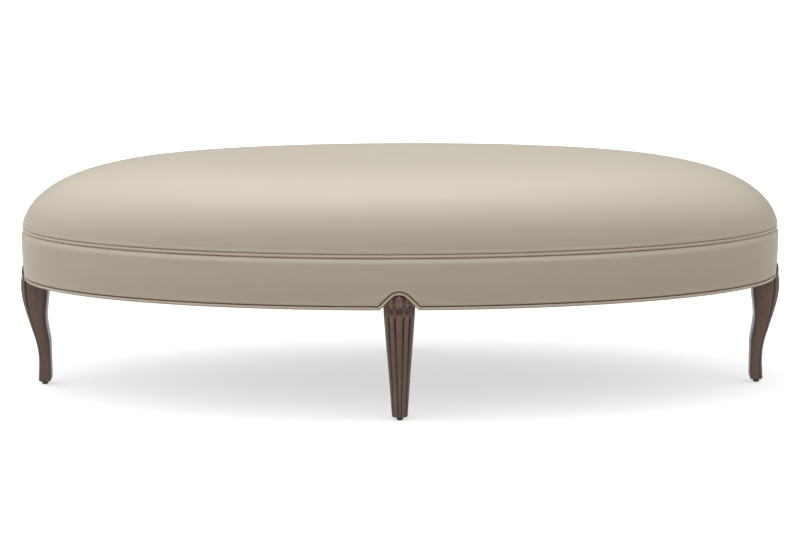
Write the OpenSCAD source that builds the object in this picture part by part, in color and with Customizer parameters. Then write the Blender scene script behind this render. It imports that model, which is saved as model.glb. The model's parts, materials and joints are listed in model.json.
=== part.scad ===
// Oval upholstered bed bench on four reeded cabriole legs.
// Millimetres. Z is up, X runs along the bench and the front faces -Y.
// The origin is on the floor under the middle of the seat.

/* [Body] */
// Length of the seat on its seam line
body_len = 1524; // [1280:4:1800]
// Depth of the seat on its seam line
body_depth = 660; // [560:4:780]
// Height of the seam under the boxing
seat_base_z = 230; // [190:2:280]
// Height of the boxing, from its lower seam to its upper one
boxing_h = 93; // [78:1:120]
// Height of the cushion's crown over the upper welt
crown_h = 142; // [110:1:170]

/* [Cover] */
// Thickness of the cover fabric
fabric_t = 1.2; // [0.8:0.1:1.6]
// Diameter of the welts
welt_d = 7.5; // [6:0.25:9]
// Inset of the crown's upright side from the seam line
wall_in = 1.8; // [0.8:0.2:3]
// How far the boxing rolls in under the upper welt
boxing_roll = 5.2; // [3.8:0.2:6.2]
// How far the boxing draws in at its lower seam
boxing_draw = 3.4; // [2:0.1:5]
// Width of the cover fabric that is turned under the frame
turn_under = 20; // [14:1:26]
// Thickness of the card strip that the boxing is tacked over
tack_strip_t = 1.4; // [0.8:0.1:1.8]
// Width of the card strip
tack_strip_w = 12; // [9:0.5:15]
// Height of the top cover's skirt, tacked to the frame behind the welt
skirt_h = 20; // [15:1:26]
// Thickness of the dust cover
dust_t = 0.6; // [0.4:0.1:1]

/* [Filling] */
// Thickness of the fibre wrap over the foam
wrap_t = 8; // [5:0.5:11]
// Thickness of the firm foam slab under the soft crown
foam_base_h = 66; // [52:1:80]
// Thickness of the seat webbing
webbing_t = 1.5; // [1:0.1:2]
// Width of one webbing strap
webbing_w = 50; // [40:1:60]
// Thickness of the deck cloth between the webbing and the foam
deck_t = 0.8; // [0.5:0.1:1.2]

/* [Frame] */
// Gap between the seam line and the frame, filled by the band padding
facing_set = 10; // [8.5:0.25:12]
// Thickness of the bent plywood facing
facing_t = 5; // [4:0.25:7]
// Thickness of the plywood plates
plate_t = 18; // [15:0.5:21]
// Width of the plywood plates
plate_w = 73; // [60:1:84]
// Width of a spacer block along the rail
spacer_w = 90; // [70:2:108]
// Depth of a spacer block across the rail
spacer_d = 45; // [36:1:54]
// Thickness of the cross rails
rail_t = 22; // [18:1:28]
// Distance of each cross rail from the middle of the bench
rail_x = 260; // [215:5:310]
// How far a cross rail reaches in between the plates
rail_lap = 44; // [36:1:52]

/* [Legs] */
// Width of a leg at its knee
knee_w = 61.5; // [54:0.5:70]
// Thickness of a leg at its knee, measured away from the bench
knee_depth = 57; // [54:1:66]
// How far the knee stands out from the seam line
knee_reach = 6.7; // [5:0.1:9]
// How far a leg sways in from its knee to its ankle
leg_sway = 31.5; // [25:0.5:38]
// Height of the cut-out over a leg
arch_rise = 29; // [25:1:35]
// Radius at the top of the cut-out
arch_r = 27; // [22:1:29]
// Width of the square post at the top of a leg
post_w = 56; // [50:1:60]
// Diameter of a floor glide
glide_d = 13; // [11:0.5:15]
// Height of a glide under the foot
glide_h = 7; // [5:0.5:9]
// Diameter of the glide's worn flat
glide_flat_d = 9; // [7:0.5:10]

/* [Fixings] */
// Diameter of the leg bolts
bolt_d = 8; // [6:0.5:9]
// Distance between the two bolts of a leg
bolt_pitch = 32; // [27:1:38]
// How deep a bolt is screwed into the leg's post
bolt_grip = 30; // [25:1:34]
// Thickness of a leg block, which the bolts pass through
block_d = 45; // [38:1:54]
// Width of a leg block
block_w = 110; // [94:2:130]
// Diameter of the washers
washer_d = 20; // [17:0.5:23]
// Thickness of the washers
washer_t = 1.6; // [1.2:0.1:2]
// Width of a nut across its flats
nut_w = 13; // [12:0.5:15]
// Thickness of a nut
nut_h = 6.5; // [5:0.5:8]
// Diameter of a wood screw
screw_d = 5; // [4:0.25:6]
// Length of a wood screw
screw_l = 38; // [34:1:44]
// Diameter of a screw's head
screw_head_d = 9.5; // [8:0.5:11]

/* [Hidden] */
// Clearance between soft layers, and round what is bolted or screwed
layer_gap = 0.3;
fix_gap = 0.1;
bolt_gap = 0.5;
// Gap round the legs in the dust cover
leg_cut_gap = 2.5;
// How far each cut runs past what it cuts
overrun = 1;
// Sides of the oval, and of the welts' section
oval_sides = 64;
welt_sides = 8;
arch_steps = 10;
span_steps = 12;
round_fn = 48;

half_len = body_len / 2;
half_depth = body_depth / 2;

// Levels
frame_z = seat_base_z + fabric_t;
frame_top_z = seat_base_z + boxing_h;
upper_plate_z = frame_top_z - plate_t;
spacer_z = frame_z + plate_t;
spacer_h = upper_plate_z - spacer_z;
crown_z = frame_top_z + welt_d;
deck_z = frame_top_z + 2 * webbing_t + layer_gap;
foam_z = deck_z + deck_t + layer_gap;

// Insets from the seam line, positive inwards
skirt_in = facing_set;
skirt_out = facing_set - fabric_t;
tack_in = skirt_out - layer_gap / 2;
tack_out = tack_in - tack_strip_t;
plate_out = facing_set + facing_t;
plate_in = plate_out + plate_w;
post_front = plate_out;
post_back = knee_depth - knee_reach;
block_back = post_back + block_d;
under_in = boxing_draw + turn_under;

// The four legs, as [turn, distance of the seam line from the middle]
leg_places = [[0, half_depth], [90, half_len], [180, half_depth], [270, half_len]];
FRONT = 0;
RIGHT = 1;
BACK = 2;
LEFT = 3;

// Place of the joints in the plates, as a count of the oval's sides from its ends, and
// what each of a plate's four lengths spans
joint_side = 9;
half_sides = oval_sides / 2;
plate_spans = [
    [joint_side - half_sides, -joint_side], [-joint_side, joint_side],
    [joint_side, half_sides - joint_side], [half_sides - joint_side, half_sides + joint_side]
];

// Places of the spacer blocks, as angles round the oval: one on each joint, and one
// nearer to the end
joint_angle = 360 * joint_side / oval_sides;
near_angle = 30;
spacer_angles = [
    for (middle = [0, 180], a = [near_angle, joint_angle], side = [-1, 1]) middle + side * a
];

// Colours
fabric_colour = [0.76, 0.71, 0.64];
wood_colour = [0.33, 0.26, 0.23];
ply_colour = [0.80, 0.66, 0.46];
block_colour = [0.72, 0.54, 0.34];
foam_colour = [0.93, 0.88, 0.66];
fibre_colour = [0.95, 0.95, 0.93];
webbing_colour = [0.36, 0.25, 0.17];
deck_colour = [0.66, 0.56, 0.40];
dust_colour = [0.10, 0.10, 0.11];
steel_colour = [0.72, 0.73, 0.75];
glide_colour = [0.20, 0.16, 0.13];

// The oval

// A point on the oval at angle t, moved in by u, square to the seam line
function oval_normal(t, long = half_len, short = half_depth) =
    let (n = [short * cos(t), long * sin(t)]) n / norm(n);
function oval_point(t, u = 0) =
    [half_len * cos(t), half_depth * sin(t)] - u * oval_normal(t);
function oval_outline(u) =
    [for (i = [0 : oval_sides - 1]) oval_point(360 * i / oval_sides, u)];
// Half of the depth that the oval leaves at distance x from its middle
function oval_reach(x, u) = (half_depth - u) * sqrt(1 - pow(x / (half_len - u), 2));

// Two faces between point j of ring i and the next ones, of rings of m points
function net_faces(i, i2, j, m) =
    let (j2 = (j + 1) % m)
        [[i * m + j, i2 * m + j2, i * m + j2], [i * m + j, i2 * m + j, i2 * m + j2]];
// Faces of a tube whose last ring joins the first
function loop_faces(rings, m) = [
    for (i = [0 : rings - 1], j = [0 : m - 1]) each net_faces(i, (i + 1) % rings, j, m)
];
// Faces of a stack of rings, bottom one first, with two flat caps
function capped_faces(rings, m) = concat(
    [[for (j = [0 : m - 1]) j]],
    [for (i = [0 : rings - 2], j = [0 : m - 1]) each net_faces(i, i + 1, j, m)],
    [[for (j = [0 : m - 1]) rings * m - 1 - j]]
);

// A closed profile of [inset, height] points carried round the oval. It runs down
// its outer side and up its inner one.
module oval_ring(profile) {
    polyhedron(
        points = [
            for (i = [0 : oval_sides - 1], p = profile)
                let (q = oval_point(360 * i / oval_sides, p[0])) [q[0], q[1], p[1]]
        ],
        faces = loop_faces(oval_sides, len(profile))
    );
}

// A length of a flat oval hoop, from side to side of the oval, between two insets
module hoop_length(span, outer, inner, h) {
    linear_extrude(h)
        polygon(concat(
            [for (k = [span[0] : span[1]]) oval_point(360 * k / oval_sides, outer)],
            [for (k = [span[1] : -1 : span[0]]) oval_point(360 * k / oval_sides, inner)]));
}

// A flat oval hoop between two insets
module oval_hoop(outer, inner, h) {
    linear_extrude(h) difference() {
        polygon(oval_outline(outer));
        polygon(oval_outline(inner));
    }
}

// Puts its children at a leg, with -Y pointing away from the bench
module at_leg(i) {
    rotate([0, 0, leg_places[i][0]])
        translate([0, -leg_places[i][1], 0])
            children();
}

// The cut-out over a leg

arch_slope = 45;
arch_drop = arch_r * (1 - cos(arch_slope));
arch_half_w = arch_r * sin(arch_slope) + (arch_rise - arch_drop) / tan(arch_slope);

// Half of the line at distance d inside the cut-out, from its top down to the base
function arch_half(d) = concat(
    [for (k = [0 : arch_steps / 2])
        let (a = arch_slope * k / (arch_steps / 2))
            [(arch_r - d) * sin(a), arch_rise - arch_r + (arch_r - d) * cos(a)]],
    [[arch_half_w - d * tan(arch_slope / 2), -d]]
);
function mirrored(half) = concat(
    [for (k = [len(half) - 1 : -1 : 0]) [-half[k][0], half[k][1]]],
    [for (k = [1 : len(half) - 1]) half[k]]
);
// Half of the cut-out's width at height z over the base, d inside its line
function arch_width(z, d) =
    let (r = arch_r - d, c = arch_rise - arch_r, low = c + r * cos(arch_slope))
        z >= c + r ? 0
        : z >= low ? sqrt(r * r - (z - c) * (z - c))
        : r * sin(arch_slope) + (low - z) / tan(arch_slope);

// Cuts from the outside in to inset u
module arch_cut(u) {
    for (i = [FRONT : LEFT])
        at_leg(i)
            translate([0, u, seat_base_z])
                rotate([90, 0, 0])
                    linear_extrude(u + welt_d)
                        polygon(concat(mirrored(arch_half(0)),
                            [[arch_half_w, -welt_d], [-arch_half_w, -welt_d]]));
}

// The crowned cushion

// Shape of the crown: how square its side is, how full its top is, and how much
// more the rings draw in at the ends than at the front
crown_square = 4.2;
crown_full = 0.63;
crown_end_share = 0.53;
// Places of the crown's rings, as shares of the half depth
crown_shares = [0, 0.008, 0.03, 0.07, 0.15, 0.28, 0.48, 0.78];

function crown_height(k) = crown_h * pow(1 - pow(1 - k, crown_square), crown_full);
// Direction into the cushion at share k, as [inwards, up]
function crown_normal(k) =
    let (e = 0.0005,
         d = [2 * e * half_depth, crown_height(k + e) - crown_height(max(k - e, 0))])
        k < e ? [1, 0] : [d[1], -d[0]] / norm(d);
// One ring of the crown, at depth t inside its skin
function crown_ring(k, t) =
    let (u = k * half_depth,
         n = crown_normal(k),
         long = half_len - wall_in - u * (1 + crown_end_share * (half_len / half_depth - 1)),
         short = half_depth - wall_in - u)
        [for (i = [0 : oval_sides - 1])
            let (a = 360 * i / oval_sides,
                 p = [long * cos(a), short * sin(a)] - t * n[0] * oval_normal(a, long, short))
                [p[0], p[1], crown_z + crown_height(k) + t * n[1]]];
function crown_rings(shares, t) = [for (k = shares) crown_ring(k, t)];
// A ring of the seam line's oval, moved in by u
function flat_ring(u, z) = [for (p = oval_outline(u)) [p[0], p[1], z]];
function dropped(ring, z) = [for (p = ring) [p[0], p[1], z]];
function flattened(rings) = [for (r = rings) each r];

module capped_loft(rings) {
    polyhedron(points = flattened(rings), faces = capped_faces(len(rings), oval_sides));
}

// The fabric over the crown, with its edge turned in over the welt
module top_cover() {
    inner = concat(
        [flat_ring(skirt_in, crown_z), flat_ring(skirt_in, crown_z + fabric_t)],
        [for (k = [1 : len(crown_shares) - 1]) crown_ring(crown_shares[k], fabric_t)]);
    color(fabric_colour)
        shell_loft(crown_rings(crown_shares, 0), inner);
}

// The strip sewn to the top cover's edge, tacked to the frame behind the welt
module cover_skirt() {
    color(fabric_colour)
        translate([0, 0, crown_z - skirt_h])
            oval_hoop(skirt_out, skirt_in, skirt_h);
}

// A shell between an outer and an inner stack of rings, both open at the bottom
module shell_loft(outer, inner) {
    m = oval_sides;
    a = len(outer);
    b = len(inner);
    polyhedron(
        points = concat(flattened(outer), flattened(inner)),
        faces = concat(
            [for (i = [0 : a - 2], j = [0 : m - 1]) each net_faces(i, i + 1, j, m)],
            [[for (j = [0 : m - 1]) a * m - 1 - j]],
            [for (i = [a : a + b - 2], j = [0 : m - 1]) each net_faces(i + 1, i, j, m)],
            [[for (j = [0 : m - 1]) (a + b - 1) * m + j]],
            [for (j = [0 : m - 1]) each net_faces(a, 0, j, m)]
        )
    );
}

wrap_out_t = fabric_t + layer_gap;
wrap_in_t = wrap_out_t + wrap_t;
foam_out_t = wrap_in_t + layer_gap;
wrap_foot_z = crown_z + fabric_t + layer_gap;

// The fibre between the cover and the foam
module fibre_wrap() {
    shares = [for (k = [2 : len(crown_shares) - 1]) crown_shares[k]];
    outer_side = crown_rings(shares, wrap_out_t);
    inner_side = crown_rings(shares, wrap_in_t);
    color(fibre_colour)
        shell_loft(
            concat([dropped(outer_side[0], wrap_foot_z)], outer_side),
            concat([dropped(inner_side[0], wrap_foot_z)], inner_side));
}

// Rings of the foam's skin over its foot
foam_shares = [for (k = [3 : len(crown_shares) - 1]) crown_shares[k]];
slab_z = foam_z + foam_base_h;
// The share at which the foam's skin reaches the slab's top, found by halving
function skin_share(low, high, n) =
    let (mid = (low + high) / 2)
        n == 0 ? mid
        : crown_ring(mid, foam_out_t)[0][2] < slab_z
            ? skin_share(mid, high, n - 1)
            : skin_share(low, mid, n - 1);
slab_share = skin_share(0, 1, round_fn);
slab_edge = dropped(crown_ring(slab_share, foam_out_t), slab_z);
slab_foot = dropped(crown_ring(min(foam_shares[0], slab_share), foam_out_t), foam_z);

// The firm slab, whose side follows the cover
module foam_base() {
    side = [for (k = foam_shares) if (k < slab_share) crown_ring(k, foam_out_t)];
    color(foam_colour)
        capped_loft(concat([slab_foot], side, [slab_edge]));
}

// The soft crown that lies on the slab
module foam_crown() {
    color(foam_colour)
        capped_loft(concat(
            [slab_edge],
            [for (k = foam_shares) if (k > slab_share) crown_ring(k, foam_out_t)]));
}

// Boxing and welts

// Outer face of the boxing, from its upper seam to its lower one: share of its height
// from the top, of its roll at the upper seam and of its draw at the lower one
boxing_shares = [
    [0, 1, 0], [0.03, 0.6, 0], [0.08, 0.26, 0], [0.18, 0.03, 0],
    [0.46, 0, 0], [0.72, 0, 0.38], [1, 0, 1]
];
boxing_face = [for (p = boxing_shares)
    [boxing_roll * p[1] + boxing_draw * p[2], frame_top_z - boxing_h * p[0]]];

// The fabric strip round the side, turned over the card at the top and under the frame
module boxing() {
    last = len(boxing_face) - 1;
    inner = [for (k = [last : -1 : 0])
        [boxing_face[k][0] + fabric_t,
         k == 0 ? frame_top_z - fabric_t
         : k == last ? seat_base_z + fabric_t : boxing_face[k][1]]];
    profile = concat(
        boxing_face,
        [[under_in, seat_base_z], [under_in, frame_z]],
        inner,
        [[tack_in, frame_top_z - fabric_t], [tack_in, frame_top_z]]);
    color(fabric_colour)
        difference() {
            oval_ring(profile);
            arch_cut(under_in + overrun);
        }
}

// A strip of the padding behind the boxing, from one leg to the next, quarter i of the oval
module band_padding(i) {
    last = len(boxing_face) - 1;
    card_z = frame_top_z - fabric_t - tack_strip_w - layer_gap;
    skirt_z = crown_z - skirt_h - layer_gap;
    face = [for (k = [1 : last - 1])
        [boxing_face[k][0] + fabric_t + layer_gap, boxing_face[k][1]]];
    color(fibre_colour)
        difference() {
            intersection() {
                oval_ring(concat(
                    face,
                    [[boxing_draw + fabric_t + layer_gap, frame_z + layer_gap],
                     [facing_set, frame_z + layer_gap],
                     [facing_set, min(card_z, skirt_z)],
                     [tack_out - layer_gap, min(card_z, skirt_z)],
                     [tack_out - layer_gap, face[0][1]]]));
                rotate([0, 0, 90 * i])
                    cube([body_len, body_len, frame_top_z]);
            }
            arch_cut(facing_set + overrun);
        }
}

// The card that the top edge of the boxing is folded over
module tack_strip() {
    color(ply_colour)
        translate([0, 0, frame_top_z - fabric_t - tack_strip_w])
            oval_hoop(tack_out, tack_in, tack_strip_w);
}

// Section of a welt, as [outwards, up] from its middle
welt_section = [for (k = [0 : welt_sides - 1])
    let (a = -360 * (k + 0.5) / welt_sides)
        welt_d / 2 / cos(180 / welt_sides) * [cos(a), sin(a)]];
// Inset of the upper welt's middle, which lies against the top cover's skirt
welt_in = skirt_out - 2 * layer_gap - welt_d / 2;

// The welt in the upper seam, with the flange that is sewn in between the covers
module top_welt() {
    z = frame_top_z + welt_d / 2;
    color(fabric_colour)
        oval_ring([for (k = [0 : welt_sides - 1])
            each concat(
                [[welt_in - welt_section[k][0], z + welt_section[k][1]]],
                k == welt_sides / 2 - 1
                    ? [[skirt_out - layer_gap / 2, z - fabric_t / 2],
                       [skirt_out - layer_gap / 2, z + fabric_t / 2]] : [])]);
}

// Inset of the lower welt's middle from the boxing's edge, as a share of its diameter
lower_in_share = 0.33;
lower_in = boxing_draw + welt_d * lower_in_share;
// Path of the lower welt, as [angle round the oval, height of its middle]
lower_arch = mirrored(arch_half(welt_d / 2));
// Angle of the point at distance w beside the middle of leg i
function arch_angle(i, w) =
    let (across = leg_places[(i + 1) % 4][1], away = leg_places[i][1])
        90 * i - 90 + asin(w / (across - lower_in * away / across));
lower_path = [
    for (i = [FRONT : LEFT])
        each concat(
            [for (p = lower_arch) [arch_angle(i, p[0]), seat_base_z + p[1]]],
            let (a = arch_angle(i, lower_arch[len(lower_arch) - 1][0]),
                 b = arch_angle(i, 0) + 90 - (arch_angle((i + 1) % 4, -lower_arch[0][0])
                     - arch_angle((i + 1) % 4, 0)))
                [for (k = [1 : span_steps - 1])
                    [a + (b - a) * k / span_steps, seat_base_z - welt_d / 2]])
];

// The welt under the boxing, which climbs over each leg
module bottom_welt() {
    n = len(lower_path);
    middle = [for (p = lower_path) let (q = oval_point(p[0], lower_in)) [q[0], q[1], p[1]]];
    color(fabric_colour)
        polyhedron(
            points = [
                for (i = [0 : n - 1])
                    let (before = middle[i] - middle[(i + n - 1) % n],
                         after = middle[(i + 1) % n] - middle[i],
                         along = before / norm(before) + after / norm(after),
                         t = along / norm(along),
                         o = oval_normal(lower_path[i][0]),
                         out = [o[0], o[1], 0],
                         up = cross(out, t))
                        each [for (s = welt_section)
                            middle[i] + out * s[0] + up / norm(up) * s[1]]
            ],
            faces = loop_faces(n, welt_sides)
        );
}

// The frame

// The bent plywood round the frame, with a cut-out over each leg
module rail_facing() {
    color(ply_colour)
        difference() {
            translate([0, 0, frame_z])
                oval_hoop(facing_set, plate_out, frame_top_z - frame_z);
            arch_cut(plate_out + overrun);
        }
}

// One countersunk screw, its head flush at the origin and its point downwards
module screw(gap = 0) {
    head_h = (screw_head_d - screw_d) / 2;
    translate([0, 0, -screw_l])
        cylinder(d = screw_d + 2 * gap, h = screw_l, $fn = round_fn);
    translate([0, 0, -head_h])
        cylinder(d1 = screw_d + 2 * gap, d2 = screw_head_d + 2 * gap, h = head_h, $fn = round_fn);
}

// Middle of the plates' width, where the screws go in
screw_in = plate_out + spacer_d / 2;
block_screw_in = post_back + block_d / 2;
block_screw_x = (block_w - post_w) / 4 + post_w / 2;
rail_screw_y = oval_reach(rail_x, plate_in) + rail_lap / 3;

// Puts its children at each screw of a plate, two in each spacer block
module at_screws() {
    for (a = spacer_angles, side = [-1, 1]) {
        n = oval_normal(a);
        translate(oval_point(a, screw_in) + side * spacer_w / 4 * [-n[1], n[0]])
            children();
    }
    for (i = [FRONT : LEFT], side = [-1, 1])
        at_leg(i)
            translate([side * block_screw_x, block_screw_in, 0])
                children();
    for (x = [-rail_x, rail_x], side = [-1, 1])
        translate([x, side * rail_screw_y, 0])
            children();
}
module screws_down(gap = 0) {
    translate([0, 0, frame_top_z])
        at_screws()
            screw(gap);
}
module screws_up(gap = 0) {
    translate([0, 0, frame_z])
        at_screws()
            mirror([0, 0, 1])
                screw(gap);
}

// A length of the upper oval plate, which carries the webbing
module top_plate(i) {
    color(ply_colour)
        difference() {
            translate([0, 0, upper_plate_z])
                hoop_length(plate_spans[i], plate_out, plate_in, plate_t);
            screws_down(fix_gap);
        }
}

// A length of the lower oval plate, notched for the post of its leg
module bottom_plate(i) {
    color(ply_colour)
        difference() {
            translate([0, 0, frame_z])
                hoop_length(plate_spans[i], plate_out, plate_in, plate_t);
            at_leg(i)
                translate([-post_w / 2 - fix_gap, -overrun, frame_z - overrun])
                    cube([post_w + 2 * fix_gap, post_back + overrun, plate_t + 2 * overrun]);
            screws_up(fix_gap);
        }
}

// A block between the plates, sawn to their curve
module spacer_block(i) {
    a = spacer_angles[i];
    n = oval_normal(a);
    color(block_colour)
        difference() {
            translate([0, 0, spacer_z])
                linear_extrude(spacer_h)
                    intersection() {
                        difference() {
                            polygon(oval_outline(plate_out));
                            polygon(oval_outline(plate_out + spacer_d));
                        }
                        translate(oval_point(a, screw_in))
                            rotate([0, 0, atan2(n[1], n[0])])
                                square([2 * spacer_d, spacer_w], center = true);
                    }
            screws_down(fix_gap);
            screws_up(fix_gap);
        }
}

// A rail from front to back, held between the plates
module cross_rail(side) {
    reach = oval_reach(rail_x + rail_t / 2, plate_in) + rail_lap;
    color(block_colour)
        difference() {
            translate([side * rail_x - rail_t / 2, -reach, spacer_z])
                cube([rail_t, 2 * reach, spacer_h]);
            screws_down(fix_gap);
            screws_up(fix_gap);
        }
}

bolt_z = spacer_z + spacer_h / 2;
bolt_tail = 2;
bolt_l = bolt_grip + block_d + washer_t + nut_h + bolt_tail;

// Puts its children at the two bolts of a leg, their +Z into the bench
module at_bolts(u) {
    for (side = [-1, 1])
        translate([side * bolt_pitch / 2, u, bolt_z])
            rotate([-90, 0, 0])
                children();
}

// The block behind a leg, which its bolts pass through
module leg_block(i) {
    color(block_colour)
        difference() {
            at_leg(i)
                translate([-block_w / 2, post_back, spacer_z])
                    cube([block_w, block_d, spacer_h]);
            at_leg(i)
                at_bolts(post_back - overrun)
                    cylinder(d = bolt_d + 2 * bolt_gap, h = block_d + 2 * overrun, $fn = round_fn);
            screws_down(fix_gap);
            screws_up(fix_gap);
        }
}

// Hanger bolts: one end is screwed into the leg, the other takes the nut
module leg_bolts() {
    color(steel_colour)
        for (i = [FRONT : LEFT])
            at_leg(i)
                at_bolts(post_back - bolt_grip)
                    cylinder(d = bolt_d, h = bolt_l, $fn = round_fn);
}

module bolt_washers() {
    color(steel_colour)
        for (i = [FRONT : LEFT])
            at_leg(i)
                at_bolts(block_back)
                    difference() {
                        cylinder(d = washer_d, h = washer_t, $fn = round_fn);
                        translate([0, 0, -overrun])
                            cylinder(d = bolt_d + 2 * fix_gap, h = washer_t + 2 * overrun,
                                $fn = round_fn);
                    }
}

module bolt_nuts() {
    color(steel_colour)
        for (i = [FRONT : LEFT])
            at_leg(i)
                at_bolts(block_back + washer_t)
                    difference() {
                        cylinder(d = nut_w / cos(30), h = nut_h, $fn = 6);
                        translate([0, 0, -overrun])
                            cylinder(d = bolt_d + 2 * fix_gap, h = nut_h + 2 * overrun,
                                $fn = round_fn);
                    }
}

module top_plate_screws() {
    color(steel_colour)
        screws_down();
}

module bottom_plate_screws() {
    color(steel_colour)
        screws_up();
}

// Deck

cross_straps = 10;
long_straps = 3;
// How far a strap laps onto the plate, as a share of the plate's width
strap_lap_share = 0.6;
strap_lap = plate_w * strap_lap_share;
// Length over which a strap changes from over to under, as a share of its width
weave_share = 0.25;
// Places of the outermost straps, as shares of the opening's half length and half depth
strap_spread_shares = [0.74, 0.42];

// Place of strap i of n, spread out to reach
function strap_place(i, n, reach) = reach * (2 * i / (n - 1) - 1);
function strap_x(i) =
    strap_place(i, cross_straps, (half_len - plate_in) * strap_spread_shares[0]);
function strap_y(j) =
    strap_place(j, long_straps, (half_depth - plate_in) * strap_spread_shares[1]);

// Straps from front to back, drawn flat over the upper plate
module cross_webbing() {
    color(webbing_colour)
        for (i = [0 : cross_straps - 1]) {
            x = strap_x(i);
            reach = oval_reach(abs(x) + webbing_w / 2, plate_in) + strap_lap;
            translate([x - webbing_w / 2, -reach, frame_top_z])
                cube([webbing_w, 2 * reach, webbing_t]);
        }
}

// Straps from end to end, woven over and under the others
module long_webbing() {
    slope = webbing_w * weave_share;
    step = webbing_t + layer_gap / 2;
    color(webbing_colour)
        for (j = [0 : long_straps - 1]) {
            y = strap_y(j);
            share = (abs(y) + webbing_w / 2) / (half_depth - plate_in);
            reach = (half_len - plate_in) * sqrt(1 - share * share) + strap_lap;
            line = concat(
                [[-reach, 0], [strap_x(0) - webbing_w / 2 - 2 * slope, 0]],
                [for (i = [0 : cross_straps - 1])
                    let (over = (i + j) % 2 == 0 ? step : -step)
                        each [[strap_x(i) - webbing_w / 2 - slope / 2, over],
                              [strap_x(i) + webbing_w / 2 + slope / 2, over]]],
                [[strap_x(cross_straps - 1) + webbing_w / 2 + 2 * slope, 0], [reach, 0]]);
            translate([0, y + webbing_w / 2, frame_top_z])
                rotate([90, 0, 0])
                    linear_extrude(webbing_w)
                        polygon(concat(
                            line,
                            [for (k = [len(line) - 1 : -1 : 0]) line[k] + [0, webbing_t]]));
        }
}

// The cloth between the webbing and the foam
module deck_cloth() {
    color(deck_colour)
        translate([0, 0, deck_z])
            linear_extrude(deck_t)
                polygon(oval_outline(plate_out));
}

// The cloth under the frame, cut round the legs
module dust_cover() {
    edge_in = lower_in + welt_d / 2 + layer_gap;
    color(dust_colour)
        translate([0, 0, seat_base_z - dust_t])
            linear_extrude(dust_t)
                difference() {
                    polygon(oval_outline(edge_in));
                    for (i = [FRONT : LEFT])
                        at_leg(i)
                            translate([-knee_w / 2 - leg_cut_gap, -overrun])
                                square([knee_w + 2 * leg_cut_gap, post_back + leg_cut_gap + overrun]);
                }
}

// Legs

// The leg's outline by height, from the foot to the seam line: share of the height,
// of the sway, of the knee's thickness and of the knee's width
leg_shares = [
    [0.03, 0.93, 0.455, 0.50],
    [0.10, 0.96, 0.49, 0.53],
    [0.20, 1.00, 0.505, 0.58],
    [0.30, 0.97, 0.515, 0.63],
    [0.40, 0.84, 0.53, 0.68],
    [0.50, 0.63, 0.585, 0.735],
    [0.60, 0.41, 0.665, 0.79],
    [0.70, 0.205, 0.805, 0.845],
    [0.80, 0.05, 0.945, 0.90],
    [0.90, 0.00, 1.00, 0.955],
    [1.00, 0.07, 1.00, 1.00]
];
// Half of the leg's face: share of the half width at the knee and at the foot, and
// depth of the carving there as a share of the thickness. Three reeds face outwards.
face_shares = [
    [0.00, 0.00, 0.000],
    [0.18, 0.11, 0.006],
    [0.28, 0.18, 0.045],
    [0.33, 0.22, 0.105],
    [0.40, 0.29, 0.110],
    [0.45, 0.34, 0.050],
    [0.54, 0.46, 0.006],
    [0.64, 0.58, 0.010],
    [0.70, 0.66, 0.050],
    [0.745, 0.71, 0.110],
    [0.80, 0.78, 0.075],
    [0.90, 0.90, 0.030],
    [1.00, 1.00, 0.000]
];
// Half of its sides and back: share of the half width and of the thickness
side_shares = [[1, 0.52], [0.97, 0.80], [0.86, 0.95], [0.62, 1]];
// Where the rounded face meets the sides, as a share of the thickness
face_round_share = 0.26;
// Places of the rings between two rows of the outline, and in the knee's dome
leg_ring_shares = [0, 0.5];
dome_shares = [0.25, 0.5, 0.72, 0.88, 1];
// Gap between the knee and the welt over it, and half width of the knee's top
knee_gap = 0.5;
knee_tip = 1;

// A smooth curve through the rows of the outline, at row i and share s of the way on
function row(i) = leg_shares[min(max(i, 0), len(leg_shares) - 1)];
function leg_row(i, s) =
    let (a = row(i - 1), b = row(i), c = row(i + 1), d = row(i + 2))
        b + s * (c - a) / 2 + s * s * (2 * a - 5 * b + 4 * c - d) / 2
            + s * s * s * (3 * b - a - 3 * c + d) / 2;

// A ring of the leg: reach of its face, thickness, half width, height, share of the
// way from foot to knee, and share of the carving's depth
function leg_ring(out, depth, half_w, z, h, carved) =
    mirrored_ring(concat(
        [for (p = face_shares)
            [half_w * (p[1] + (p[0] - p[1]) * h),
             depth * (face_round_share * (1 - sqrt(1 - pow(p[1] + (p[0] - p[1]) * h, 2)))
                 + carved * p[2]) - out]],
        [for (p = side_shares) [half_w * p[0], depth * p[1] - out]]), z);
function mirrored_ring(half, z) = concat(
    [for (p = half) [p[0], p[1], z]],
    [for (k = [len(half) - 1 : -1 : 1]) [-half[k][0], half[k][1], z]]
);
// The ring for a row of the outline. It stays inside the lower welt, and its back
// lies no deeper than the post's.
function row_ring(r, grow = 1, carved = 1) =
    let (z = r[0] * seat_base_z,
         out = knee_reach - leg_sway * r[1],
         depth = min(knee_depth * r[2], post_back + out),
         limit = arch_width(z - seat_base_z, welt_d + knee_gap))
        leg_ring(out - depth * (1 - grow) / 2, depth * grow,
            min(knee_w / 2 * r[3] * grow, limit), z, r[0], carved);

dome_h = arch_rise - welt_d - knee_gap;
dome_out = knee_reach - leg_sway * row(len(leg_shares) - 1)[1];
// How far the knee's top lies behind its face
dome_fall = dome_out + facing_set;
function dome_ring(s) =
    let (out = dome_out - dome_fall * (1 - sqrt(1 - s * s)))
        leg_ring(out, post_back + out, max(arch_width(dome_h * s, welt_d + knee_gap), knee_tip),
            seat_base_z + dome_h * s, 1, s < 1 ? 1 : 0);

// The foot's bottom, its rounded edge and its size there as a share
foot_z = glide_h;
foot_edge = 2;
foot_round_share = 0.86;

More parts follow.
